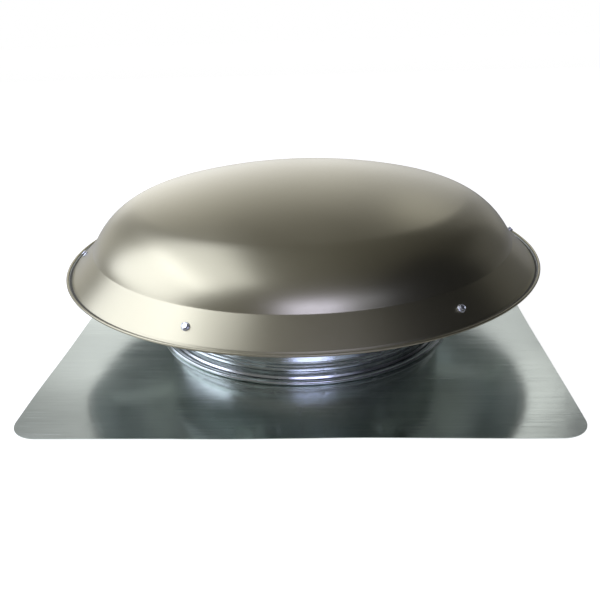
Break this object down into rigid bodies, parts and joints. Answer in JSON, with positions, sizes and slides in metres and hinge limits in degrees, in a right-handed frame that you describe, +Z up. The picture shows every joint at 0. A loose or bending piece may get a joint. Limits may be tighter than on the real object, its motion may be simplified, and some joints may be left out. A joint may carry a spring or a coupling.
{
  "type": "powered roof ventilator",
  "caption": "Round spun-metal hood over a galvanised throat and square base flashing, with a motor-driven axial fan, bird screen and thermostat box inside.",
  "frame": {"origin": "centre of the base flashing's underside", "axes": "+Z up along the fan's axis, -Y towards the throat's lap seam, +X along one side of the flashing"},
  "size_m": [0.619, 0.619, 0.2078],
  "materials": {
    "flashing_steel": "bright galvanised sheet with a fine spangle",
    "throat_steel": "bright galvanised sheet, rolled",
    "hood_paint": "satin metallic bronze paint",
    "strap_steel": "galvanised strap",
    "rivet_aluminium": "plain aluminium rivet",
    "screw_zinc": "bright zinc plate",
    "screen_wire": "galvanised welded wire",
    "motor_paint": "satin black enamel",
    "bell_aluminium": "die-cast, bare",
    "lamination_steel": "stacked laminations",
    "winding_copper": "varnished copper wire",
    "bearing_bronze": "sintered bronze",
    "washer_nylon": "nylon",
    "shaft_steel": "ground steel",
    "fan_aluminium": "mill-finish sheet",
    "hub_steel": "zinc-plated steel",
    "box_steel": "galvanised steel box",
    "bushing_plastic": "black nylon",
    "ground_green": "green passivated screw",
    "thermostat_plastic": "moulded phenolic",
    "dial_plastic": "moulded dial",
    "spindle_brass": "turned brass"
  },
  "bodies": {
    "root": {"base_flashing": "flashing_steel", "throat": "throat_steel", "throat_seam_rivets": "rivet_aluminium", "hood": "hood_paint", "hood_strap_rivets": "rivet_aluminium", "hood_screws": "screw_zinc", "screen": "screen_wire", "motor_strap_left": "strap_steel", "motor_strap_right": "strap_steel", "motor_strap_rivets": "rivet_aluminium", "motor_shell": "motor_paint", "motor_upper_bell": "bell_aluminium", "motor_lower_bell": "bell_aluminium", "stator_core": "lamination_steel", "stator_windings": "winding_copper", "upper_bearing": "bearing_bronze", "lower_bearing": "bearing_bronze", "thrust_washers": "washer_nylon", "motor_tie_bolts": "screw_zinc", "motor_nuts": "screw_zinc", "wiring_box": "box_steel", "wiring_box_cover": "box_steel", "box_cover_screws": "screw_zinc", "box_hanging_screws": "screw_zinc", "box_hanging_nuts": "screw_zinc", "lead_bushing": "bushing_plastic", "ground_screw": "ground_green", "thermostat_body": "thermostat_plastic", "hood_strap_1": "strap_steel", "hood_strap_2": "strap_steel", "hood_strap_3": "strap_steel", "hood_strap_4": "strap_steel", "hood_strap_5": "strap_steel", "hood_strap_6": "strap_steel"},
    "fan": {"motor_shaft": "shaft_steel", "motor_rotor": "lamination_steel", "thrust_collars": "hub_steel", "fan_hub": "hub_steel", "fan_set_screw": "shaft_steel", "fan_spider": "hub_steel", "fan_blade_1": "fan_aluminium", "fan_blade_2": "fan_aluminium", "fan_blade_3": "fan_aluminium", "fan_blade_4": "fan_aluminium", "fan_blade_rivets": "rivet_aluminium"},
    "dial": {"thermostat_spindle": "spindle_brass", "thermostat_dial": "dial_plastic"}
  },
  "joints": [
    {"name": "fan_spin", "type": "hinge", "parent": "root", "child": "fan", "pos_m": [0, 0, 0.1], "axis": [0, 0, 1], "continuous": true},
    {"name": "thermostat_dial", "type": "hinge", "parent": "root", "child": "dial", "pos_m": [0, 0.089, 0.034], "axis": [0, 0, 1], "range_deg": [0, 270]}
  ]
}
